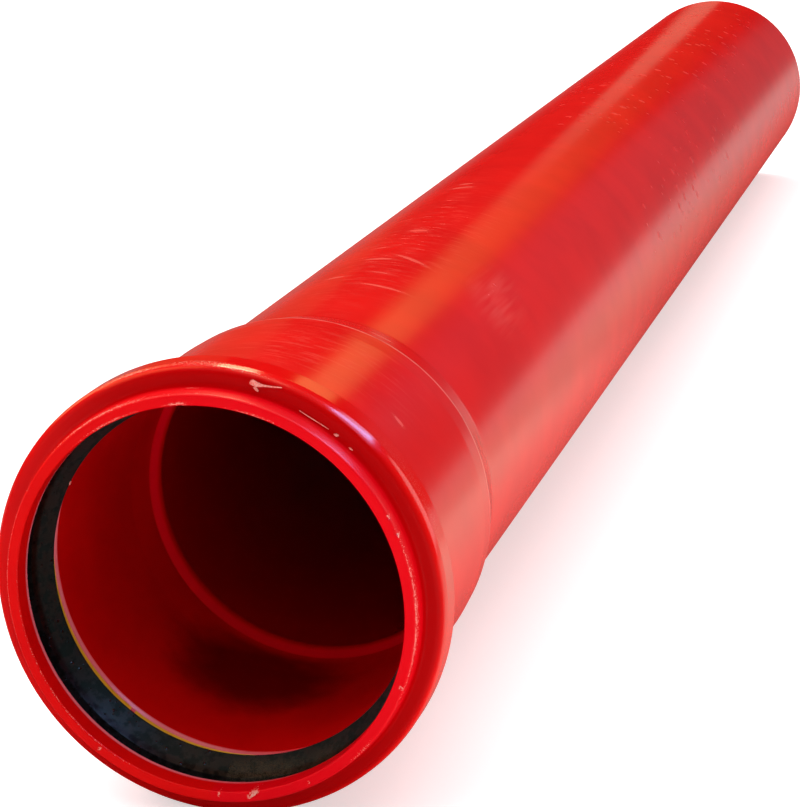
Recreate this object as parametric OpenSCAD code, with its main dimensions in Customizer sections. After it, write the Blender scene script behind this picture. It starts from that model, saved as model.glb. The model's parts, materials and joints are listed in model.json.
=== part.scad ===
// Cable conduit pipe with a formed socket, a rubber lip seal and the split ring that holds the seal
// Lies on the floor along Y with the socket mouth facing -Y, sizes in mm

/* [Pipe] */
// Outside diameter of the pipe
pipe_d = 110; // [90:1:200]
// Wall of the pipe
pipe_wall = 3.2; // [2.2:0.1:5]
// Length over everything, mouth to plain end
overall_length = 1000; // [400:5:3000]
// Angle of the chamfer on the plain end
chamfer_angle = 15; // [10:1:25]
// Length of the chamfer on the plain end
chamfer_length = 6; // [3:0.5:8]

/* [Socket] */
// Slack on diameter between a pipe end and the socket bore
socket_slack = 0.8; // [0.4:0.1:2]
// Wall of the socket behind the bead
socket_wall = 3.3; // [2.4:0.1:5]
// Depth from the mouth to the edge of the shoulder
socket_depth = 91; // [70:1:160]
// Length of the slight taper in front of that edge
taper_length = 9; // [5:0.5:15]
// Drop of the taper, on radius
taper_drop = 0.4; // [0.2:0.1:1]
// Length of the shoulder from its edge down to the pipe
shoulder_length = 16; // [12:1:30]

/* [Mouth] */
// Wall of the lip at the mouth
mouth_wall = 3.7; // [3:0.1:5]
// Extra bore diameter at the mouth
mouth_opening = 0.2; // [0:0.1:1]
// Length of the lip in front of the bead
mouth_length = 6.2; // [5:0.1:9]

/* [Bead] */
// Height of the bead above the socket
bead_rise = 6.5; // [5.5:0.1:9]
// Length of the bead from its front face to the end of its crest
crest_length = 11; // [9:0.5:14]
// Wall at the front face of the bead
front_wall = 2.6; // [2.2:0.1:3.4]
// Length of the groove behind the holding ring
groove_tail = 2.8; // [2:0.1:5]

/* [Seal] */
// Length of the seal and the gap in front of it
seal_length = 12.5; // [10:0.1:16]
// Gap in the groove in front of the seal
seal_setback = 1.2; // [0.8:0.1:2]
// Bite of the lip into a pipe pushed home, on radius
lip_bite = 1.9; // [0.5:0.1:3]
// Thickness of the lip
lip_thickness = 1.6; // [1.2:0.1:2.2]
// Clearance of the seal and its ring in the groove
seat_clearance = 0.05; // [0.02:0.01:0.1]

/* [Holding ring] */
// Length of the ring along the pipe
ring_length = 4.9; // [3:0.1:6.5]
// Gap where the ring is split
ring_gap = 1.6; // [0.5:0.1:4]
// Clock position of the split seen from the mouth
ring_gap_angle = 221; // [0:1:359]

/* [Hidden] */
$fn = 128;
corner_steps = 4;
half_length = overall_length / 2;
pipe_r = pipe_d / 2;
bore_r = pipe_r - pipe_wall;
chamfer_start = overall_length - chamfer_length;
plain_end_r = pipe_r - chamfer_length * tan(chamfer_angle);
socket_bore_r = (pipe_d + socket_slack) / 2;
socket_r = socket_bore_r + socket_wall;
taper_start = socket_depth - taper_length;
shoulder_end = socket_depth + shoulder_length;
mouth_bore_r = socket_bore_r + mouth_opening / 2;
mouth_r = mouth_bore_r + mouth_wall;
bead_r = socket_r + bead_rise;
crest_end = mouth_length + crest_length;
groove_r = bead_r - socket_wall;
groove_start = mouth_length + front_wall;
groove_floor_end = crest_end - 0.5;
seal_start = groove_start + seal_setback;
seal_end = groove_start + seal_length;
ring_start = seal_end + seat_clearance;
ring_end = ring_start + ring_length;
groove_end = ring_end + groove_tail;
bead_end = groove_end + 3;
back_slope = (groove_r - socket_bore_r) / (groove_end - groove_floor_end);
floor_corner_r = 2;
lip_r = pipe_r - lip_bite;
seal_r = groove_r - seat_clearance;
rest_tilt = atan((bead_r - pipe_r) / (chamfer_start - crest_end));
axis_height = crest_end * sin(rest_tilt) + bead_r * cos(rest_tilt);
pipe_red = [0.80, 0.04, 0.05];
seal_black = [0.05, 0.05, 0.06];
ring_yellow = [0.92, 0.66, 0.05];

// Radius just clear of the sloping back of the groove at a depth behind the mouth
function back_r(depth) = groove_r - (depth - groove_floor_end) * back_slope - 2 * seat_clearance;

// Points that round the corner b between a and c
function corner(a, b, c, r) =
    r == 0 ? [b] :
    let (
        u = (a - b) / norm(a - b),
        v = (c - b) / norm(c - b),
        half = acos(u * v) / 2,
        middle = b + (u + v) / norm(u + v) * (r / sin(half)),
        from = b + u * (r / tan(half)) - middle,
        to = b + v * (r / tan(half)) - middle,
        start = atan2(from[1], from[0]),
        turn = (atan2(to[1], to[0]) - start + 540) % 360 - 180
    )
    [
        for (i = [0:corner_steps])
            let (angle = start + turn * i / corner_steps)
            middle + r * [cos(angle), sin(angle)]
    ];

// Outline from a list of radius, depth and corner radius
function outline(p) = [
    for (i = [0:len(p) - 1])
        let (
            a = p[(i + len(p) - 1) % len(p)],
            b = p[i],
            c = p[(i + 1) % len(p)]
        )
        each corner([a[0], a[1]], [b[0], b[1]], [c[0], c[1]], b[2])
];

// Lays a body that stands on its mouth down on the bead and the plain end
module lay_down() {
    translate([0, -half_length, axis_height])
        rotate([-90 - rest_tilt, 0, 0])
            children();
}

// Pipe with its socket formed in one piece
module pipe() {
    color(pipe_red)
        lay_down()
            rotate_extrude()
                polygon(outline([
                    [mouth_bore_r, 0, 0.6],
                    [mouth_r, 0, 1],
                    [mouth_r, mouth_length, 1.5],
                    [bead_r, mouth_length, 2.4],
                    [bead_r, crest_end, 0],
                    [socket_r, bead_end, 4],
                    [socket_r, taper_start, 1],
                    [socket_r - taper_drop, socket_depth, 1],
                    [pipe_r, shoulder_end, 15],
                    [pipe_r, chamfer_start, 0],
                    [plain_end_r, overall_length, 0.3],
                    [bore_r, overall_length, 0.3],
                    [bore_r, shoulder_end, 20],
                    [socket_bore_r, socket_depth - 2, 3],
                    [socket_bore_r, groove_end, 4],
                    [groove_r, groove_floor_end, floor_corner_r],
                    [groove_r, groove_start, 1],
                    [mouth_bore_r, groove_start, 2.2]
                ]));
}

// Rubber seal with a lip that leans back towards the pipe
module seal() {
    color(seal_black)
        lay_down()
            rotate_extrude()
                polygon(outline([
                    [seal_r, seal_start, 0.5],
                    [seal_r, groove_floor_end, floor_corner_r],
                    [back_r(seal_end), seal_end, 0.3],
                    [socket_bore_r + 2.2, seal_end, 0.3],
                    [socket_bore_r + 2, seal_end - 4, 0.6],
                    [lip_r + lip_thickness, seal_end - 0.5, 0.3],
                    [lip_r, seal_end - 0.6, 0.25],
                    [lip_r, seal_end - 1.3, 0.25],
                    [socket_bore_r + 1.7, seal_start + 3.6, 0.5],
                    [socket_bore_r + 3.5, seal_start + 2.6, 0.4],
                    [socket_bore_r + 4, seal_start, 0.5]
                ]));
}

// Split ring that keeps the seal in its groove
module holding_ring() {
    color(ring_yellow)
        lay_down()
            difference() {
                rotate_extrude()
                    polygon(outline([
                        [socket_bore_r, ring_start, 0.3],
                        [back_r(ring_start), ring_start, 0.3],
                        [back_r(ring_end), ring_end, 0.3],
                        [socket_bore_r, ring_end, 0.3]
                    ]));
                rotate([0, 0, -90 + ring_gap_angle])
                    translate([socket_bore_r - 1, -ring_gap / 2, ring_start - 1])
                        cube([bead_rise, ring_gap, ring_length + 2]);
            }
}

pipe();
seal();
holding_ring();
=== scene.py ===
import bmesh
import bpy
import json
import math
from mathutils import Matrix, Vector


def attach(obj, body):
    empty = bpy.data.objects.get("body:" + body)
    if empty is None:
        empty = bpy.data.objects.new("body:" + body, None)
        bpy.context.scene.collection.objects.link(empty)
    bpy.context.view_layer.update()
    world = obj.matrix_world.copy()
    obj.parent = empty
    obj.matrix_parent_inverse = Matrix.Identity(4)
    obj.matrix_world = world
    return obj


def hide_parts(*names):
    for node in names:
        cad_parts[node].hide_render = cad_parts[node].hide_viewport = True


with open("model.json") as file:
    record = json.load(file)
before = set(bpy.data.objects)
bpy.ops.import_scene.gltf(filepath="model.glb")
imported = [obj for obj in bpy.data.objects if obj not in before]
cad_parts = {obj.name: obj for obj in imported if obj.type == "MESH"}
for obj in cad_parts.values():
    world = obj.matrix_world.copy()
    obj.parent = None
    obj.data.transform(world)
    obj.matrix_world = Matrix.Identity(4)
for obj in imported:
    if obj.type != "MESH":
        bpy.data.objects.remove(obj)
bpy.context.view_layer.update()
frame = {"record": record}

mm = 0.001
mounts = {m["name"]: m for m in frame["record"]["mounts"]}
pipeRadius = mounts["plain_end"]["dims"]["r_mm"]
boreRadius = mounts["pipe_bore"]["dims"]["r_mm"]
mouthRadius = mounts["socket_mouth"]["dims"]["r_mm"]
pipeAxis = Vector(mounts["plain_end"]["axis"])
restTilt = math.asin(-pipeAxis.z)  # it rests on its bead, so the axis leans a little
lipRounding = 0.6
creaseAngle = 40  # edges sharper than this stay sharp
arcSteps = 4  # segments in each radian of a rounded corner
mouthHalf = (mounts["socket_mouth"]["dims"]["length_mm"] / 2 + lipRounding) * mm
mouthCentre = Vector(mounts["socket_mouth"]["pos_m"]) - pipeAxis * mouthHalf
print("mouth at", [round(v, 4) for v in mouthCentre], "tilt", round(math.degrees(restTilt), 3))


def deselectAll():
    if bpy.context.object and bpy.context.object.mode == "EDIT":
        bpy.ops.object.mode_set(mode="OBJECT")
    bpy.ops.object.select_all(action="DESELECT")


def selectRing(obj, radius, depth, reach=0.02 * mm):
    bm = bmesh.from_edit_mesh(obj.data)
    for v in bm.verts:
        v.select = abs(v.co.y - depth) < reach and abs(math.hypot(v.co.x, v.co.z) - radius) < reach
    bm.select_flush_mode()
    bmesh.update_edit_mesh(obj.data)


def pointOutwards():
    bpy.ops.mesh.select_all(action="SELECT")
    bpy.ops.mesh.normals_make_consistent(inside=False)
    bpy.ops.object.mode_set(mode="OBJECT")


def spot(clock, depth, radius):
    # a place given as clock angle seen from the mouth, depth behind it and radius, in mm
    turn = math.radians(clock)
    return Vector((radius * math.sin(turn), depth, radius * math.cos(turn))) * mm


def layDown(obj):
    # made with its mouth at the origin and its axis along Y, it now goes to its place on the floor
    obj.rotation_euler = (-restTilt, 0, 0)
    obj.location = mouthCentre
    bpy.ops.object.transform_apply(location=True, rotation=True, scale=True)


def turnedRing(name, outline, steps, cuts=()):
    # outline rows are radius, depth behind the mouth and corner radius, in mm
    deselectAll()
    first = outline[0]
    bpy.ops.mesh.primitive_circle_add(vertices=steps, radius=first[0] * mm, rotation=(math.pi / 2, 0, 0),
                                      location=(0, first[1] * mm, 0))
    obj = bpy.context.object
    obj.name = obj.data.name = name
    bpy.ops.object.transform_apply(location=True, rotation=True)
    bpy.ops.object.mode_set(mode="EDIT")
    bpy.ops.mesh.select_mode(type="VERT")
    bpy.ops.mesh.select_all(action="SELECT")
    for a, b in zip(outline, outline[1:]):
        bpy.ops.mesh.extrude_region_move(TRANSFORM_OT_translate={"value": (0, (b[1] - a[1]) * mm, 0)})
        grow = b[0] / a[0]
        bpy.ops.transform.resize(value=(grow, 1, grow), center_override=(0, b[1] * mm, 0))
    bm = bmesh.from_edit_mesh(obj.data)
    for e in bm.edges:
        e.select = len(e.link_faces) == 1
    bmesh.update_edit_mesh(obj.data)
    bpy.ops.mesh.select_mode(type="EDGE")
    bpy.ops.mesh.bridge_edge_loops()
    bpy.ops.mesh.select_mode(type="VERT")
    for depth in cuts:
        bpy.ops.mesh.select_all(action="SELECT")
        bpy.ops.mesh.bisect(plane_co=(0, depth * mm, 0), plane_no=(0, 1, 0))
    for i, (radius, depth, corner) in enumerate(outline):
        if corner:
            before = Vector(outline[i - 1][:2]) - Vector((radius, depth))
            after = Vector(outline[(i + 1) % len(outline)][:2]) - Vector((radius, depth))
            turn = math.pi - before.angle(after)
            selectRing(obj, radius * mm, depth * mm)
            bpy.ops.mesh.select_mode(type="EDGE")
            bpy.ops.mesh.bevel(offset=corner * math.tan(turn / 2) * mm, offset_type="OFFSET",
                               segments=max(3, round(turn * arcSteps)), profile=0.5, affect="EDGES")
            bpy.ops.mesh.select_mode(type="VERT")
    pointOutwards()
    return obj


def finishMesh(obj):
    bpy.context.view_layer.objects.active = obj
    obj.select_set(True)
    bpy.ops.object.shade_smooth_by_angle(angle=math.radians(creaseAngle))
    weighted = obj.modifiers.new("evenShading", "WEIGHTED_NORMAL")
    weighted.keep_sharp = True
    bpy.ops.object.modifier_apply(modifier=weighted.name)


class Nodes:
    def __init__(self, owner):
        # owner is a material or the world
        owner.use_nodes = True
        self.tree = owner.node_tree
        self.shader = self.tree.nodes.get("Principled BSDF")
        self.material = owner

    def add(self, kind, **settings):
        node = self.tree.nodes.new(kind)
        for key, value in settings.items():
            setattr(node, key, value)
        return node

    def join(self, value, socket):
        if isinstance(value, bpy.types.NodeSocket):
            self.tree.links.new(value, socket)
        else:
            socket.default_value = value

    def calc(self, operation, a, b=0.0, clamp=False):
        node = self.add("ShaderNodeMath", operation=operation, use_clamp=clamp)
        self.join(a, node.inputs[0])
        self.join(b, node.inputs[1])
        return node.outputs[0]

    def chain(self, operation, values, clamp=False):
        total = values[0]
        for value in values[1:]:
            total = self.calc(operation, total, value, clamp)
        return total

    def times(self, *values, clamp=False):
        return self.chain("MULTIPLY", values, clamp)

    def most(self, *values, clamp=False):
        return self.chain("MAXIMUM", values, clamp)

    def ramp(self, value, low, high, to=(0.0, 1.0)):
        node = self.add("ShaderNodeMapRange", interpolation_type="SMOOTHSTEP")
        for item, socket in zip((value, low, high, *to), node.inputs):
            self.join(item, socket)
        return node.outputs[0]

    def band(self, value, rise, fall):
        # 1 between its rising and its falling edge
        return self.times(self.ramp(value, *rise), self.ramp(value, *fall))

    def mix(self, factor, a, b):
        node = self.add("ShaderNodeMix", data_type="RGBA")
        for item, socket in zip((factor, a, b), (node.inputs[0], node.inputs[6], node.inputs[7])):
            self.join(item, socket)
        return node.outputs[2]

    def coat(self, colour, mask, share, paint):
        return self.mix(self.times(mask, share), colour, (*paint, 1))

    def noise(self, vector, scale, detail=2.0, roughness=0.5, across="3D"):
        node = self.add("ShaderNodeTexNoise", noise_dimensions=across)
        self.join(vector, node.inputs["Vector"])
        node.inputs["Scale"].default_value = scale
        node.inputs["Detail"].default_value = detail
        node.inputs["Roughness"].default_value = roughness
        return node.outputs["Fac"]

    def chart(self):
        # millimetres from the mouth centre, and the surface rolled flat: clock angle, depth and radius,
        # where a degree is about a millimetre
        place = self.add("ShaderNodeMapping", vector_type="TEXTURE")
        self.join(self.add("ShaderNodeTexCoord").outputs["Object"], place.inputs["Vector"])
        place.inputs["Location"].default_value = mouthCentre
        place.inputs["Rotation"].default_value = (-restTilt, 0, 0)
        place.inputs["Scale"].default_value = (mm, mm, mm)
        self.local = place.outputs[0]
        parts = self.add("ShaderNodeSeparateXYZ")
        self.join(self.local, parts.inputs[0])
        x, self.depth, z = parts.outputs
        self.radius = self.calc("SQRT", self.calc("ADD", self.times(x, x), self.times(z, z)))
        self.clock = self.times(self.calc("ARCTAN2", x, z), 180 / math.pi)
        flat = self.add("ShaderNodeCombineXYZ")
        for value, socket in zip((self.clock, self.depth, self.radius), flat.inputs):
            self.join(value, socket)
        self.flat = flat.outputs[0]

    def marks(self, rows):
        # soft oval marks on the chart: middle, half sizes, turn in degrees and strength
        total = 0.0
        for clock, depth, radius, halfClock, halfDepth, halfRadius, turn, strength in rows:
            oval = self.add("ShaderNodeMapping", vector_type="TEXTURE")
            self.join(self.flat, oval.inputs["Vector"])
            oval.inputs["Location"].default_value = (clock, depth, radius)
            oval.inputs["Rotation"].default_value = (0, 0, math.radians(turn))
            oval.inputs["Scale"].default_value = (halfClock, halfDepth, halfRadius)
            blot = self.add("ShaderNodeTexGradient", gradient_type="SPHERICAL")
            self.join(oval.outputs[0], blot.inputs[0])
            total = self.most(self.times(blot.outputs["Fac"], strength), total)
        return total

    def mapped(self, scale=(1, 1, 1), turn=0):
        # the chart stretched and turned
        node = self.add("ShaderNodeMapping")
        self.join(self.flat, node.inputs["Vector"])
        node.inputs["Rotation"].default_value = (0, 0, math.radians(turn))
        node.inputs["Scale"].default_value = scale
        return node.outputs[0]

    def dots(self, vector, cell, size, share):
        # dots scattered on the chart: cell size and dot radius in mm, and the share of cells that have one
        node = self.add("ShaderNodeTexVoronoi", feature="F1", voronoi_dimensions="2D")
        self.join(vector, node.inputs["Vector"])
        node.inputs["Scale"].default_value = 1 / cell
        dome = self.ramp(node.outputs["Distance"], size / cell, 0.0)
        pick = self.add("ShaderNodeSeparateColor")
        self.join(node.outputs["Color"], pick.inputs[0])
        return self.times(dome, self.calc("LESS_THAN", pick.outputs[0], share))

    def bump(self, height):
        # height in millimetres
        node = self.add("ShaderNodeBump")
        node.inputs["Strength"].default_value = 1.0
        node.inputs["Distance"].default_value = mm
        self.join(height, node.inputs["Height"])
        self.join(node.outputs[0], self.shader.inputs["Normal"])


def newPlastic(name):
    n = Nodes(bpy.data.materials.new(name))
    n.chart()
    return n


def bothSides(row):
    # the clock angle runs from -180 to 180, so a mark across the bottom is laid twice
    return [row, (row[0] + 360, *row[1:])]


# a mark is its clock angle, depth and radius, its half size in each, its turn and its strength
wearAndHighlightMarks = [
    # rubbed lengths of the lip's two edges
    (-30, 0.4, 58.9, 30, 1.6, 0.8, 0, 0.68),
    (88, 0.4, 58.8, 34, 1.0, 0.5, 0, 0.8),
    (-88, 0.4, 58.6, 32, 1.0, 0.4, 0, 0.5),
    (131, 0.3, 58.2, 8, 1.0, 0.8, 0, 0.6),
    (-8, 0.2, 56.2, 8, 1.2, 0.8, 0, 0.74),
    (15, 0.2, 56.0, 13, 1.0, 0.6, 0, 0.68),
    (-30, 0.3, 56.0, 18, 1.2, 0.6, 0, 0.68),
    # not wear: a painted highlight along the corner between the face and the bore, on the left and bottom
    (-125, 0.2, 55.7, 60, 0.5, 0.4, 0, 0.5),
    # nicks in the outer edge
    (60.3, 0.3, 58.9, 0.9, 1.0, 0.8, 0, 1.3),
    (65.6, 0.3, 59.0, 0.8, 1.4, 0.8, 0, 1.3),
    (77.3, 0.5, 59.0, 0.7, 1.0, 0.6, 0, 1.1),
    (82.8, 0.5, 59.0, 0.5, 1.3, 0.6, 0, 1.1),
    (90.8, 0.4, 58.9, 0.8, 0.9, 0.6, 0, 1.1),
    (93.6, 0.4, 58.9, 0.5, 0.9, 0.6, 0, 1.0),
    (97.7, 0.5, 58.9, 0.6, 1.0, 0.6, 0, 1.1),
    (113.5, 1.6, 59.2, 1.2, 1.8, 0.6, 20, 1.1),
    (-62, 0.3, 59.0, 0.8, 1.2, 0.6, 0, 1.2),
    (-70, 0.3, 59.0, 0.5, 1.0, 0.6, 0, 1.0),
    (12.8, 0.2, 59.0, 0.9, 0.7, 0.6, 0, 0.9),
    # nicks across the face
    (109.2, 0.2, 57.8, 0.6, 0.9, 1.5, 0, 1.2),
    (150, 0.2, 57.2, 1.0, 0.8, 0.8, 0, 0.8),
    (166.8, 0.3, 56.0, 2.2, 1.2, 1.0, 0, 1.2),
    (168.8, 0.2, 57.0, 0.7, 0.9, 1.4, 0, 1.1),
    (177.6, 0.3, 56.2, 0.6, 1.4, 1.3, 0, 1.0),
    (-145, 0.2, 57.0, 0.8, 0.8, 1.2, 0, 0.9),
    # scratches on top of the lip, and the rubbed crest of the bead
    (-4.6, 4.6, 59.2, 4.2, 0.45, 0.6, 0, 0.8),
    (-1.1, 1.1, 59.2, 2.4, 0.5, 0.6, 24, 1.2),
    (8, 7.4, 64.8, 14, 0.9, 0.8, 0, 0.62),
    (-20, 8.2, 65.1, 14, 1.6, 0.8, 0, 0.75),
]
# rubbed streaks along the top of the pipe, and two on the socket
streakMarks = [
    (-5, 193, 55, 10, 2.8, 40, 0, 1.0),
    (-3.5, 242, 55, 7.5, 3.0, 40, 0, 1.0),
    (-8.5, 329, 55, 9, 3.4, 40, 0, 1.0),
    (-9, 337, 55, 7, 3.0, 40, 0, 0.9),
    (6.7, 195.5, 55, 18, 2.7, 40, -33, 0.9),
    (7.8, 154, 55, 17, 2.5, 40, -5, 0.9),
    (2, 172, 55, 13, 2.7, 40, -12, 0.7),
    (-9, 213, 55, 8, 2.5, 40, 3, 0.7),
    (-12, 166, 55, 9, 2.8, 40, 4, 0.8),
    (23, 99, 57, 7, 3.0, 6, 0, 1.0),
    (45, 47, 58.7, 5, 2.3, 3, -8, 0.9),
]
# dust on top of the bead and its slope
dustMarks = [
    (-22, 26, 60, 20, 15, 9, 0, 0.9),
    (-4, 9, 65.9, 14, 3.4, 1.5, 0, 1.4),
    (-28, 8.6, 65.9, 17, 3.0, 1.5, 0, 1.4),
    (60, 12, 64, 30, 8, 4, 0, 0.35),
]
blisterMarks = [(66, 560, 55, 24, 200, 40, 0, 2.0), (10, 720, 55, 48, 320, 40, 0, 2.0)]


def paintWearAndHighlight(obj, rows, deepest=12 * mm):
    # how worn each point of the mouth is, and the painted highlight along its inner corner, kept on the
    # mesh for the material to break up
    wearAndHighlight = obj.data.attributes.new("wearAndHighlight", "FLOAT", "POINT")
    for v, item in zip(obj.data.vertices, wearAndHighlight.data):
        x, y, z = v.co
        if y < deepest:
            here = Vector((math.degrees(math.atan2(x, z)), y / mm, math.hypot(x, z) / mm))
            for clock, depth, radius, halfClock, halfDepth, halfRadius, turn, strength in rows:
                away = (here - Vector((clock, depth, radius))) @ Matrix.Rotation(math.radians(turn), 3, "Z")
                off = Vector((away.x / halfClock, away.y / halfDepth, away.z / halfRadius)).length
                item.value = max(item.value, strength * (1 - off))


def rubbedPlaces(n, brushed):
    # streaks that run round the pipe, faint ones between them, and a patch of short lines along it
    streak = n.ramp(n.calc("SUBTRACT", n.marks(streakMarks), n.times(brushed, 0.7)), -0.12, 0.42)
    zone = n.marks([(-4, 235, 55, 30, 150, 40, 0, 1.4), (15, 60, 58.7, 42, 44, 8, 0, 0.8)])
    faint = n.times(n.ramp(brushed, 0.48, 0.78), zone, 0.5)
    lines = n.noise(n.mapped((0.42, 0.035, 0.0)), 1.0, 1.0, 0.5, "2D")
    patch = n.ramp(n.marks([(40, 200, 55, 17, 34, 30, 12, 1.2)]), 0.0, 1.0)
    return n.most(streak, faint, n.times(n.ramp(lines, 0.20, 0.85), patch, 0.6), clamp=True)


def blisters(n):
    # small blisters on the far half of the pipe
    turned = n.mapped(turn=31)
    dots = n.most(n.dots(turned, 11, 2.8, 0.20), n.times(n.dots(turned, 6.1, 1.7, 0.16), 0.6))
    return n.times(dots, n.ramp(n.marks(blisterMarks), 0.05, 0.9))


def wornEdgesAndHighlight(n, grain, fine):
    # whitened nicks and worn edges round the mouth, and a painted highlight along the face's inner corner
    wear = n.add("ShaderNodeAttribute", attribute_name="wearAndHighlight").outputs["Fac"]
    breakUp = n.calc("ADD", n.times(grain, 0.9), n.times(fine, 1.5))
    return n.times(n.ramp(n.calc("SUBTRACT", wear, breakUp), -0.78, -0.52), n.ramp(wear, 0.05, 0.25))


def seamHighlightAndWear(n, brushed):
    # a pale line round the end of the socket: the painted highlight of that edge, and wear along it
    line = n.ramp(n.calc("ABSOLUTE", n.calc("SUBTRACT", n.depth, pipe["socketDepth"] + 0.2)), 1.1, 0.3)
    return n.times(line, n.ramp(n.radius, 57.4, 57.8), n.ramp(brushed, 0.30, 0.60, (0.25, 1.0)))


def paleEdgeHighlights(n):
    # painted highlights on the left: pale bands on the front edge of the groove, and on the step behind the
    # holding ring
    left = n.marks(bothSides((-118, 15, 56, 92, 80, 30, 0, 2.2)))
    edge = n.times(n.band(n.depth, (5.4, 6.8), (9.4, 9.0)), n.ramp(n.radius, 57.6, 57.3))
    onStep = n.times(n.ramp(n.radius, 57.2, 56.8), left, clamp=True)
    step = n.times(n.band(n.depth, (26.5, 27.0), (28.8, 28.1)), onStep)
    return n.times(edge, left, clamp=True), step


def paintedCornerShade(n):
    # painted shade: dark in the corner behind the lip, less so on the left
    across = n.band(n.radius, (58.4, 59.4), (65.0, 63.2))
    left = n.marks([(-88, 6, 62, 70, 40, 30, 0, 1.6)])
    return n.times(n.band(n.depth, (4.4, 5.8), (8.4, 6.8)), across, n.ramp(left, 0.0, 1.0, (0.85, 0.25)))


def paintedInsideShade(n):
    # painted shade: a dark patch on the floor of the socket, and the bore darkened beyond its shoulder
    socketFloorShade = n.marks(bothSides((-167, 80, 55.4, 42, 37, 8, -15, 1.5)))
    socketFloorShade = n.calc("SUBTRACT", socketFloorShade, n.times(n.noise(n.local, 0.09, 2.0, 0.6), 0.5))
    socketFloorShade = n.times(
        n.ramp(socketFloorShade, -0.1, 0.75, (0.0, 0.8)),
        n.ramp(n.radius, 56.3, 55.9),
        n.ramp(n.depth, 101, 96),
    )
    bore = n.times(n.ramp(n.radius, 52.8, 52.4), n.ramp(n.depth, 104.4, 106.5, (0.0, 0.5)))
    return n.most(bore, socketFloorShade)


def redPlastic():
    n = newPlastic("redPlastic")
    front = n.ramp(n.depth, 6.8, 5.2)
    grain = n.noise(n.local, 1.3, 2.0, 0.65)
    fine = n.noise(n.local, 3.4, 1.0, 0.6)
    brushed = n.noise(n.mapped((0.10, 0.55, 0.0)), 1.0, 3.0, 0.65, "2D")
    rubbed = rubbedPlaces(n, brushed)
    blister = blisters(n)
    wearAndHighlight = wornEdgesAndHighlight(n, grain, fine)
    dust = n.times(n.ramp(fine, 0.56, 0.66), n.ramp(n.marks(dustMarks), 0.05, 0.6), clamp=True)
    edge, step = paleEdgeHighlights(n)
    corner = paintedCornerShade(n)
    # a painted highlight: brighter crimson on the ring where the bore opens into the socket
    shoulderRingHighlight = n.times(n.band(n.depth, (100.7, 101.8), (104.4, 102.8)), n.ramp(n.radius, 55.0, 54.7))

    cloudy = n.ramp(n.noise(n.local, 0.035, 2.0), 0.25, 0.75)
    colour = n.mix(cloudy, (0.69, 0.0010, 0.0020, 1), (0.79, 0.0030, 0.0028, 1))
    # the face and lip turn crimson towards the right: a painted bluish reflection
    colour = n.coat(colour, front, n.ramp(n.clock, -60, 20), (0.76, 0.0008, 0.006))
    colour = n.coat(colour, rubbed, 0.42, (0.92, 0.15, 0.11))
    colour = n.coat(colour, blister, 0.15, (0.90, 0.085, 0.07))
    # whitened nicks and wear, with a painted highlight along the inner corner of the face
    colour = n.coat(colour, wearAndHighlight, 0.85, (0.90, 0.30, 0.24))
    # painted highlight and wear on the edge where the socket ends
    colour = n.coat(colour, seamHighlightAndWear(n, brushed), 0.45, (0.95, 0.38, 0.32))
    colour = n.coat(colour, dust, 0.6, (0.95, 0.50, 0.38))
    # painted highlights on the groove's front edge and on the step behind the ring
    colour = n.coat(colour, edge, 0.75, (1.0, 0.26, 0.33))
    colour = n.coat(colour, step, 0.85, (1.0, 0.24, 0.30))
    # painted shade in the corner behind the lip
    colour = n.coat(colour, corner, 1.0, (0.40, 0.0003, 0.0008))
    # painted shade inside the socket and down the bore
    colour = n.coat(colour, paintedInsideShade(n), 1.0, (0.10, 0.0002, 0.0005))
    # painted highlight on the shoulder ring
    colour = n.coat(colour, shoulderRingHighlight, 1.0, (1.0, 0.0010, 0.016))
    n.join(colour, n.shader.inputs["Base Color"])

    # the moulded mouth is glossier than the pipe
    rough = n.chain("ADD", (
        n.ramp(n.depth, 13, 24, (0.13, 0.21)),
        n.times(n.calc("SUBTRACT", brushed, 0.5), n.ramp(n.depth, 6, 9, (0.0, 0.10))),
        n.times(rubbed, 0.10),
        n.times(front, 0.14),
        n.times(blister, 0.2),
    ))
    rough = n.calc("ADD", rough, n.times(n.most(wearAndHighlight, dust), 0.30), clamp=True)
    n.join(rough, n.shader.inputs["Roughness"])
    n.shader.inputs["IOR"].default_value = 1.45
    shine = n.calc("SUBTRACT", n.ramp(front, 0, 1, (0.5, 0.25)), n.times(corner, 0.4))
    shine = n.calc("SUBTRACT", shine, n.ramp(n.depth, 0.5, 0.1, (0.0, 0.17)), clamp=True)
    n.join(shine, n.shader.inputs["Specular IOR Level"])

    # the blisters stand out, and the crest of the bead is grainy
    bead = n.marks([(-4, 9.4, 65.6, 34, 3.6, 1.4, 0, 1.6)])
    beadGrain = n.times(n.noise(n.local, 1.3, 0.0), bead, clamp=True)
    n.bump(n.calc("ADD", n.times(blister, 0.12), n.times(beadGrain, 0.035)))
    return n.material


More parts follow.
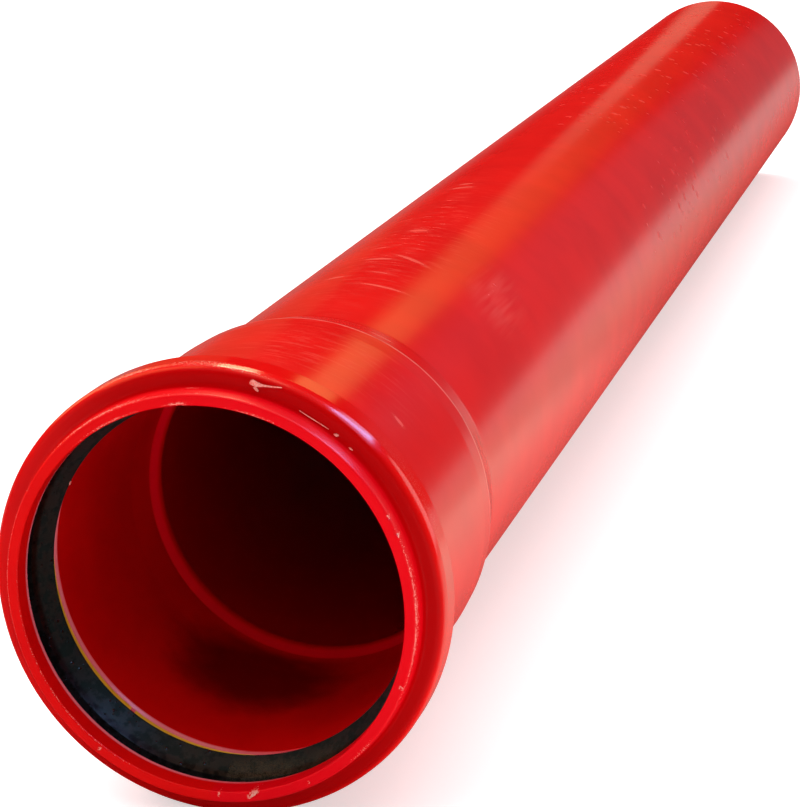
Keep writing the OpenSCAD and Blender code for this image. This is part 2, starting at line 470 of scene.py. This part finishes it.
def blackRubber():
    n = newPlastic("blackRubber")
    grain = n.noise(n.local, 1.6, 4.0, 0.65)
    # beige chalky dust low on the seal, which also stands in for a painted warm reflection there
    chalkAndSheenZone = n.marks([(172, 17, 56.5, 26, 7, 4, 0, 1.3), (150, 17, 56.5, 14, 7, 4, 0, 0.7),
                         (200, 17, 56.5, 20, 7, 4, 0, 0.5)])
    chalkAndSheen = n.times(n.ramp(n.noise(n.local, 2.6, 3.0, 0.7), 0.40, 0.62), n.ramp(chalkAndSheenZone, 0.05, 0.8))
    wetZone = n.ramp(n.marks(bothSides((-130, 17, 56.5, 62, 40, 12, 0, 1.0))), 0, 0.3, (0.3, 1.0))
    beads = n.most(n.dots(n.flat, 3.2, 0.6, 0.22), n.times(n.dots(n.flat, 1.7, 0.4, 0.22), 0.6))
    beads = n.times(beads, wetZone)

    colour = n.mix(grain, (0.0045, 0.0125, 0.012, 1), (0.008, 0.020, 0.019, 1))
    # painted shade: the outer part of the seal, deep in the groove, darker
    colour = n.coat(colour, n.ramp(n.radius, 55.7, 56.6), 1.0, (0.0015, 0.0018, 0.0018))
    # beige dust and a painted warm reflection
    colour = n.coat(colour, chalkAndSheen, 0.65, (0.075, 0.060, 0.032))
    colour = n.coat(colour, beads, 1.0, (0.002, 0.002, 0.002))
    n.join(colour, n.shader.inputs["Base Color"])
    n.join(n.calc("SUBTRACT", n.ramp(grain, 0.3, 0.7, (0.28, 0.42)), n.times(beads, 0.24)),
           n.shader.inputs["Roughness"])
    damp = n.ramp(n.noise(n.local, 0.28, 3.0, 0.6), 0.40, 0.56, (0.16, 0.40))
    n.join(n.calc("ADD", damp, n.times(beads, 0.3)), n.shader.inputs["Specular IOR Level"])
    n.bump(n.calc("ADD", n.times(grain, 0.012), n.times(beads, 0.16)))
    return n.material


def yellowPlastic():
    n = newPlastic("yellowPlastic")
    cloudy = n.noise(n.local, 0.3, 2.0)
    n.join(n.mix(cloudy, (0.95, 0.54, 0.02, 1), (1.0, 0.64, 0.04, 1)), n.shader.inputs["Base Color"])
    n.join(n.ramp(cloudy, 0.3, 0.7, (0.38, 0.5)), n.shader.inputs["Roughness"])
    n.bump(n.times(n.noise(n.local, 1.5, 3.0), 0.01))
    return n.material


def shavingPlastic():
    n = newPlastic("shavingPlastic")
    grain = n.noise(n.local, 2.2, 3.0, 0.6)
    colour = n.mix(n.ramp(grain, 0.35, 0.65), (0.86, 0.12, 0.10, 1), (0.90, 0.42, 0.34, 1))
    n.join(colour, n.shader.inputs["Base Color"])
    n.join(n.ramp(grain, 0.3, 0.7, (0.3, 0.5)), n.shader.inputs["Roughness"])
    n.bump(n.times(grain, 0.05))
    return n.material


# the pipe with its socket
pipe = dict(
    steps=720,
    socketDepth=91,
    # radius, depth behind the mouth and corner radius, in mm
    outline=[
        (mouthRadius, 0, lipRounding),  # inner edge of the lip
        (56.7, 0, 0),
        (57.4, 0, 0),
        (58.35, 0, 0.5),  # outer edge of the lip
        (58.8, 0.55, 0.8),
        (59.25, 3.4, 3.0),
        (59.3, 6.2, 1.5),  # corner between the lip and the bead
        (61.6, 6.2, 0),
        (64.6, 6.2, 2.4),  # front of the bead
        (65.2, 9.8, 4.0),
        (65.2, 17.2, 0.3),  # back of its crest
        (58.7, 32.05, 4.0),  # foot of its slope, on the socket
        (58.7, 82, 1.0),
        (58.3, 91, 1.0),  # end of the socket
        (pipeRadius, 107, 15.0),  # foot of the shoulder, on the pipe
        (pipeRadius, 994, 0.2),  # chamfer of the plain end
        (53.392, 1000, 0.3),
        (boreRadius, 1000, 0.3),
        (boreRadius, 103.9, 2.8),  # the bore opens into the socket
        (54.4, 101.3, 0.5),
        (55.4, 88, 4.0),
        (55.4, 28.5, 0.8),  # step behind the groove
        (56.2, 27.6, 0.3),
        (61.9, 16.7, 2.0),  # groove of the seal
        (61.9, 8.8, 1.0),
        (mouthRadius, 8.8, 2.2),  # back of the lip
    ],
    cuts=(160, 250, 340, 430, 520, 610, 700, 790, 880),
    # clock, depth, radius, push along the axis and push outwards, reach, in mm
    dents=[
        (60.3, 0, 59.0, 0.30, -0.25, 0.9),
        (65.6, 0, 59.0, 0.25, -0.30, 0.8),
        (77.3, 0, 59.0, 0.2, -0.25, 0.7),
        (82.8, 0, 59.0, 0.2, -0.2, 0.7),
        (90.8, 0, 59.0, 0.2, -0.25, 0.8),
        (97.7, 0, 59.0, 0.2, -0.2, 0.7),
        (109.2, 0, 57.8, 0.25, 0.0, 1.2),
        (113.5, 1.2, 59.2, 0.0, -0.35, 1.4),
        (166.8, 0, 56.0, 0.45, 0.25, 1.8),
        (177.6, 0, 56.0, 0.3, 0.2, 1.1),
        (-7, 0, 56.0, 0.2, 0.15, 1.6),
        (-62, 0, 59.0, 0.2, -0.25, 0.9),
        (-145, 0, 57.0, 0.2, 0.0, 1.1),
        (150, 0, 57.2, 0.2, 0.0, 1.0),
    ],
)
pipeBody = turnedRing("conduit_pipe", pipe["outline"], pipe["steps"], pipe["cuts"])
bpy.ops.object.mode_set(mode="EDIT")
for clock, depth, radius, inward, outward, reach in pipe["dents"]:
    middle = spot(clock, depth, radius)
    bm = bmesh.from_edit_mesh(pipeBody.data)
    nearest = min(bm.verts, key=lambda v: (v.co - middle).length)
    for v in bm.verts:
        v.select = v is nearest
    bm.select_flush_mode()
    bmesh.update_edit_mesh(pipeBody.data)
    push = spot(clock, inward, outward)
    bpy.ops.transform.translate(value=push, use_proportional_edit=True, proportional_edit_falloff="SMOOTH",
                                proportional_size=reach * mm)
bpy.ops.object.mode_set(mode="OBJECT")
finishMesh(pipeBody)
paintWearAndHighlight(pipeBody, wearAndHighlightMarks)
layDown(pipeBody)
pipeBody.data.materials.append(redPlastic())
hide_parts("pipe")
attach(pipeBody, "root")
print("pipe turned,", len(pipeBody.data.polygons), "faces")

# the lip seal in its groove
seal = dict(
    steps=384,
    outline=[
        (61.85, 10, 0.5),  # body in the groove
        (61.85, 16.7, 2.0),
        (59.379, 21.3, 0.3),
        (57.6, 21.3, 0.3),
        (57.4, 17.3, 0.6),  # hollow behind the lip
        (54.7, 20.8, 0.3),
        (53.1, 20.7, 0.25),  # tip of the lip
        (53.1, 20.0, 0.25),
        (57.1, 13.6, 0.5),
        (58.9, 12.6, 0.4),
        (59.4, 10, 0.5),
    ],
)
sealRing = turnedRing("lip_seal", seal["outline"], seal["steps"])
finishMesh(sealRing)
layDown(sealRing)
sealRing.data.materials.append(blackRubber())
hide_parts("seal")
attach(sealRing, "root")
print("seal turned,", len(sealRing.data.polygons), "faces")

# the split ring that holds the seal
splitRing = dict(
    steps=384,
    outline=[(55.4, 21.35, 0.3), (59.353, 21.35, 0.3), (56.774, 26.25, 0.3), (55.4, 26.25, 0.3)],
    gap=1.6,
    gapClock=215.5,
)
holdRing = turnedRing("split_ring", splitRing["outline"], splitRing["steps"])
bpy.ops.object.mode_set(mode="EDIT")
outward = spot(splitRing["gapClock"], 0, 1).normalized()
across = Vector((outward.z, 0, -outward.x))
for half in (-0.5, 0.5):
    bpy.ops.mesh.select_all(action="SELECT")
    bpy.ops.mesh.bisect(plane_co=across * half * splitRing["gap"] * mm, plane_no=across)
bpy.ops.mesh.select_mode(type="FACE")
bm = bmesh.from_edit_mesh(holdRing.data)
for face in bm.faces:
    middle = face.calc_center_median()
    face.select = middle.dot(outward) > 0 and abs(middle.dot(across)) < splitRing["gap"] * mm / 2
bmesh.update_edit_mesh(holdRing.data)
bpy.ops.mesh.delete(type="FACE")
bpy.ops.mesh.select_mode(type="EDGE")
bpy.ops.mesh.select_all(action="DESELECT")
bpy.ops.mesh.select_non_manifold()
bpy.ops.mesh.fill_holes(sides=0)
pointOutwards()
finishMesh(holdRing)
layDown(holdRing)
holdRing.data.materials.append(yellowPlastic())
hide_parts("holding_ring")
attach(holdRing, "root")
print("ring turned,", len(holdRing.data.polygons), "faces")

# thin shavings left on the mouth
flash = dict(
    thickness=0.16,
    smoothAngle=50,
    # each row is clock, depth, radius and width
    slivers=[
        # the curl on the front of the bead, and the shred inside it
        [(10.4, 5.9, 62.2, 0.4), (11.0, 5.6, 62.6, 1.6), (11.7, 5.3, 62.8, 2.1), (12.8, 5.4, 62.7, 1.3),
         (14.2, 5.6, 62.8, 0.55), (16.4, 5.7, 63.3, 0.4), (18.4, 5.9, 63.9, 0.2)],
        [(11.6, 5.9, 61.6, 0.7), (12.4, 5.7, 61.1, 0.8), (12.9, 5.9, 60.7, 0.4)],
        # threads in the corner behind the lip
        [(24.6, 5.8, 60.2, 0.15), (27, 5.75, 60.0, 0.22), (30, 5.75, 60.0, 0.25), (33.4, 5.9, 60.1, 0.15)],
        [(35.2, 5.9, 59.8, 0.3), (35.9, 5.6, 60.2, 0.8), (36.4, 5.9, 60.4, 0.3)],
        [(40.2, 5.9, 59.6, 0.25), (40.9, 5.7, 59.9, 0.5), (41.5, 5.9, 59.9, 0.2)],
        # burrs on the lip's outer edge
        [(59.8, -0.05, 58.7, 0.2), (60.3, -0.25, 59.0, 0.5), (60.9, -0.05, 59.0, 0.2)],
        [(65.2, 0.1, 59.0, 0.2), (65.7, -0.15, 59.2, 0.5), (66.4, 0.1, 58.9, 0.2)],
        # a crumb on the tip of the seal, and a burr low on the lip's face
        [(-63.6, 20.2, 53.0, 0.3), (-62.9, 19.9, 52.9, 0.6), (-62.2, 20.1, 53.2, 0.5),
         (-62.0, 20.5, 53.6, 0.3)],
        [(165.9, -0.03, 55.9, 0.3), (166.9, -0.15, 56.3, 1.0), (167.8, -0.1, 56.9, 0.6),
         (168.6, -0.02, 57.6, 0.2)],
    ],
)


def sliver(rows, thickness):
    # a flat ribbon drawn out of one short edge, then given its thickness
    deselectAll()
    places = [spot(*row[:3]) for row in rows]
    widths = [row[3] for row in rows]
    bpy.ops.mesh.primitive_plane_add(size=0.1 * mm, location=places[0])
    obj = bpy.context.object
    bpy.ops.object.transform_apply(location=True)
    bpy.ops.object.mode_set(mode="EDIT")
    bpy.ops.mesh.select_all(action="SELECT")
    bpy.ops.mesh.merge(type="CENTER")
    bm = bmesh.from_edit_mesh(obj.data)
    start = bm.verts[:][0]
    along = (places[1] - places[0]).normalized()
    side = along.cross(Vector((0, 1, 0))).normalized()
    start.co = places[0] - side * widths[0] * mm / 2
    start.select = True
    bmesh.update_edit_mesh(obj.data)
    bpy.ops.mesh.select_mode(type="VERT")
    bpy.ops.mesh.extrude_region_move(TRANSFORM_OT_translate={"value": side * widths[0] * mm})
    bpy.ops.mesh.select_mode(type="EDGE")
    bpy.ops.mesh.select_all(action="SELECT")
    for i in range(1, len(rows)):
        bpy.ops.mesh.extrude_region_move(TRANSFORM_OT_translate={"value": places[i] - places[i - 1]})
        bpy.ops.transform.resize(value=(widths[i] / widths[i - 1],) * 3, center_override=places[i])
    bpy.ops.mesh.select_all(action="SELECT")
    bpy.ops.mesh.subdivide(number_cuts=2, smoothness=0.6)
    bpy.ops.object.mode_set(mode="OBJECT")
    solid = obj.modifiers.new("thickness", "SOLIDIFY")
    solid.thickness = thickness * mm
    solid.offset = 0
    bpy.ops.object.modifier_apply(modifier=solid.name)
    return obj


slivers = [sliver(rows, flash["thickness"]) for rows in flash["slivers"]]
deselectAll()
for obj in slivers:
    obj.select_set(True)
bpy.context.view_layer.objects.active = slivers[0]
bpy.ops.object.join()
shavings = bpy.context.object
shavings.name = shavings.data.name = "shavings"
bpy.ops.object.mode_set(mode="EDIT")
pointOutwards()
bpy.ops.object.shade_smooth_by_angle(angle=math.radians(flash["smoothAngle"]))
layDown(shavings)
shavings.data.materials.append(shavingPlastic())
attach(shavings, "root")
print("shavings laid,", len(shavings.data.polygons), "faces")

# floor, cards and sky; only reflections see the cards
studio = dict(
    floorSize=60,
    floorDrop=0.0002,
    floorPaint=0.80,
    floorRough=0.9,
    floorLift=0.55,  # glow the camera sees
    # light the floor throws back: none left of the pipe, most close on its right, less farther out
    floorBounce=1.1,
    bounceReach=(0.03, 0.12),
    bounceFade=(0.9, 0.3),
    bounceLeast=0.2,
    # how bright the pipe mirrors the floor, close to it and far off, and the shares of that elsewhere
    mirrorNear=0.06,
    mirrorFar=0.62,
    mirrorReach=(0.025, 0.19),
    mirrorLeft=0.34,
    leftReach=(-0.01, 0.01),
    mirrorFront=1.6,  # over the half with the mouth
    frontReach=(-0.08, 0.12),
    mirrorBack=0.65,  # well beyond the far end
    backReach=(0.9, 2.2),
    mirrorAhead=0.12,  # ahead of the mouth
    aheadReach=(-0.42, -0.51),
    # tint of what is mirrored: front, back, and close to the pipe, where the floor is red from it
    tintFront=(1.05, 1.0, 0.80, 1),
    tintBack=(1.0, 1.0, 0.95, 1),
    tintReach=(0.2, 0.8),
    tintUnder=(4.0, 1.1, 0.95, 1),
    underReach=(0.15, 0.04),
    ambient=0.38,
    # azimuth from +Y towards +X, elevation, spread and strength of each soft light in the sky
    soft=[
        (0, 70, 24, 1.95),
        (150, 62, 15, 1.1),
        (-150, 62, 15, 2.3),
        (-60, 50, 22, 2.7),
        (-105, 35, 18, 1.4),
        (95, 6, 15, 0.7),
        (-130, 6, 16, 1.7),
    ],
    softEdge=(1.35, 0.65),  # a soft light fades out between these shares of its spread
)


def paintFloor():
    # plain pale paint; what the shiny pipe mirrors is darker close to it, where the pipe keeps light off
    n = Nodes(bpy.data.materials.new("paleFloor"))
    n.shader.inputs["Base Color"].default_value = (studio["floorPaint"],) * 3 + (1,)
    n.shader.inputs["Roughness"].default_value = studio["floorRough"]
    n.shader.inputs["Specular IOR Level"].default_value = 0.0
    n.shader.inputs["Emission Color"].default_value = (1, 1, 1, 1)
    parts = n.add("ShaderNodeSeparateXYZ")
    n.join(n.add("ShaderNodeTexCoord").outputs["Object"], parts.inputs[0])
    x, y = parts.outputs[:2]
    beside = n.calc("ABSOLUTE", x)
    glow = n.times(
        n.ramp(beside, *studio["mirrorReach"], (studio["mirrorNear"], studio["mirrorFar"])),
        n.ramp(x, *studio["leftReach"], (studio["mirrorLeft"], 1.0)),
        n.ramp(y, *studio["frontReach"], (studio["mirrorFront"], 1.0)),
        n.ramp(y, *studio["backReach"], (1.0, studio["mirrorBack"])),
        n.ramp(y, *studio["aheadReach"], (1.0, studio["mirrorAhead"])),
    )
    tint = n.mix(n.ramp(y, *studio["tintReach"]), studio["tintFront"], studio["tintBack"])
    tint = n.mix(n.ramp(beside, *studio["underReach"]), tint, studio["tintUnder"])
    path = n.add("ShaderNodeLightPath")
    seen = n.most(path.outputs["Is Camera Ray"], path.outputs["Is Transmission Ray"])
    bounce = n.times(
        n.ramp(x, *studio["bounceReach"], (0.0, studio["floorBounce"])),
        n.ramp(x, *studio["bounceFade"], (studio["bounceLeast"], 1.0)),
        path.outputs["Is Diffuse Ray"],
    )
    n.join(n.calc("ADD", n.times(seen, studio["floorLift"]), bounce), n.shader.inputs["Emission Strength"])
    mirrored = n.add("ShaderNodeEmission")
    n.join(tint, mirrored.inputs["Color"])
    n.join(glow, mirrored.inputs["Strength"])
    pick = n.add("ShaderNodeMixShader")
    n.join(path.outputs["Is Glossy Ray"], pick.inputs[0])
    n.join(n.shader.outputs[0], pick.inputs[1])
    n.join(mirrored.outputs[0], pick.inputs[2])
    n.join(pick.outputs[0], n.tree.nodes["Material Output"].inputs["Surface"])
    return n.material


deselectAll()
bpy.ops.mesh.primitive_plane_add(size=studio["floorSize"], location=(0, 0, -studio["floorDrop"]))
floor = bpy.context.object
floor.name = "studioFloor"
floor.data.materials.append(paintFloor())


def card(name, corners, glow):
    deselectAll()
    bpy.ops.mesh.primitive_plane_add(size=1)
    obj = bpy.context.object
    obj.name = name
    for v, co in zip(obj.data.vertices, corners):
        v.co = co
    n = Nodes(bpy.data.materials.new(name + "Paint"))
    n.tree.nodes.clear()
    emission = n.add("ShaderNodeEmission")
    emission.inputs["Color"].default_value = (*glow, 1)
    n.join(emission.outputs[0], n.add("ShaderNodeOutputMaterial").inputs["Surface"])
    obj.data.materials.append(n.material)
    obj.visible_camera = False
    obj.visible_diffuse = False
    obj.visible_shadow = False
    obj.visible_transmission = False


def wall(start, end, low, high):
    # stands upright between two points of the floor plan
    return [(*start, low), (*end, low), (*start, high), (*end, high)]


def roof(x, y, height, farX=None):
    # lies flat; farX is how far across its far end reaches, where that differs
    far = farX or x
    return [(x[0], y[0], height), (x[1], y[0], height), (far[0], y[1], height), (far[1], y[1], height)]


# the room the cards close in
side = 2.3
front = -3.0
back = 2.3
top = 4.0
inset = back - 0.02
cards = [
    # name, corners and colour of its glow
    ("cardBack", wall((-0.9, back), (side, back), 0, top), (0.30, 0.010, 0.006)),
    ("cardBackLeft", wall((-side, back), (-0.9, back), 0, top), (0.35, 0.08, 0.035)),
    ("cardBackRight", wall((0.19, inset), (1.1, inset), 0, 1.05), (0.20, 0.115, 0.125)),
    ("cardStrip", wall((-0.37, inset), (-0.22, inset), 0.08, 0.62), (0.50, 0.27, 0.18)),
    ("cardWarmFoot", wall((-0.30, inset), (0.30, inset), 0.70, 1.10), (0.45, 0.18, 0.05)),
    ("cardWarm", wall((-0.13, back - 0.03), (0.32, back - 0.03), 1.10, 1.75), (1.5, 0.90, 0.30)),
    ("cardRightBack", wall((1.45, 1.5), (2.2, 0.3), 0, 1.15), (1.8, 1.6, 1.5)),
    ("cardRight", wall((side, front), (side, back), 0, top), (0.06, 0.010, 0.012)),
    ("cardLeft", wall((-side, front), (-side, back), 0, top), (0.05, 0.04, 0.02)),
    ("cardLeftLamp", wall((-1.6, 0.0), (-1.6, 0.9), 0.5, 1.2), (3.2, 1.9, 0.8)),
    ("cardLeftBack", wall((-1.3, 1.75), (-2.1, 0.9), 0.45, 1.5), (0.9, 0.6, 0.25)),
    ("cardLeftWarm", wall((-0.9, -1.1), (-0.9, -0.1), 0.7, 2.5), (1.5, 1.0, 0.35)),
    ("cardFront", wall((-side, front), (side, front), 0, top), (0.02, 0.01, 0.01)),
    ("cardCool", wall((0.9, -0.7), (0.9, 0.9), 1.0, 1.95), (4.0, 8.0, 16.0)),
    ("cardCoolFront", wall((0.9, -1.6), (0.9, -0.7), 1.0, 1.95), (1.2, 2.4, 4.6)),
    ("cardCoolEnd", wall((0.9, 0.9), (0.9, 1.5), 0.95, 1.8), (1.5, 2.4, 3.8)),
    ("cardTop", roof((-side, side), (front, back), top), (0.25, 0.14, 0.09)),
    ("cardTopWarm", roof((-0.5, 0.4), (-1.2, 0.0), 2.6), (2.2, 1.7, 1.1)),
    ("cardTube", roof((-0.43, -0.10), (0.1, 0.8), 1.45, (-0.58, -0.20)), (16.0, 14.0, 8.4)),
    ("cardTubeEnd", roof((-0.58, -0.20), (0.8, 1.5), 1.45, (-0.74, -0.30)), (7.0, 5.0, 2.7)),
    ("cardLow", roof((-0.8, 0.02), (-1.5, -0.55), 0.001), (0.04, 0.03, 0.04)),
]
for name, corners, glow in cards:
    card(name, corners, glow)
print("room of cards set up")

# the sky: soft lights for matt surfaces, plain white wherever it is seen or mirrored
world = bpy.data.worlds.new("studioWorld")
bpy.context.scene.world = world
sky = Nodes(world)
towards = sky.add("ShaderNodeTexCoord").outputs["Generated"]
light = studio["ambient"]
for azimuth, elevation, spread, strength in studio["soft"]:
    turn = math.radians(azimuth)
    lift = math.radians(elevation)
    facing = sky.add("ShaderNodeVectorMath", operation="DOT_PRODUCT")
    sky.join(towards, facing.inputs[0])
    level = math.cos(lift)
    facing.inputs[1].default_value = (math.sin(turn) * level, math.cos(turn) * level, math.sin(lift))
    edges = [math.cos(math.radians(spread * share)) for share in studio["softEdge"]]
    light = sky.calc("ADD", sky.ramp(facing.outputs["Value"], *edges, (0, strength)), light)
rays = sky.add("ShaderNodeLightPath").outputs
seen = sky.most(rays["Is Glossy Ray"], rays["Is Camera Ray"], rays["Is Transmission Ray"])
backdrop = sky.tree.nodes["Background"]
backdrop.inputs["Color"].default_value = (1, 1, 1, 1)
sky.join(sky.ramp(seen, 0, 1, (light, 1.0)), backdrop.inputs["Strength"])
print("sky and floor lit")

view = dict(
    away=(0.21314482, -0.59669938, 0.2405782),  # from the mouth centre to the camera
    pitch=16.26068,
    yaw=14.898646,
    lens=111.42,
    sensorWidth=36,
    rise=0.000625,
    clipEnd=100,
)
bpy.ops.object.camera_add(location=mouthCentre + Vector(view["away"]),
                          rotation=(math.radians(90 - view["pitch"]), 0, math.radians(view["yaw"])))
camera = bpy.context.object
camera.data.sensor_fit = "HORIZONTAL"
camera.data.sensor_width = view["sensorWidth"]
camera.data.lens = view["lens"]
camera.data.shift_y = view["rise"]
camera.data.clip_end = view["clipEnd"]
bpy.context.scene.camera = camera
bpy.context.scene.view_settings.view_transform = "Standard"
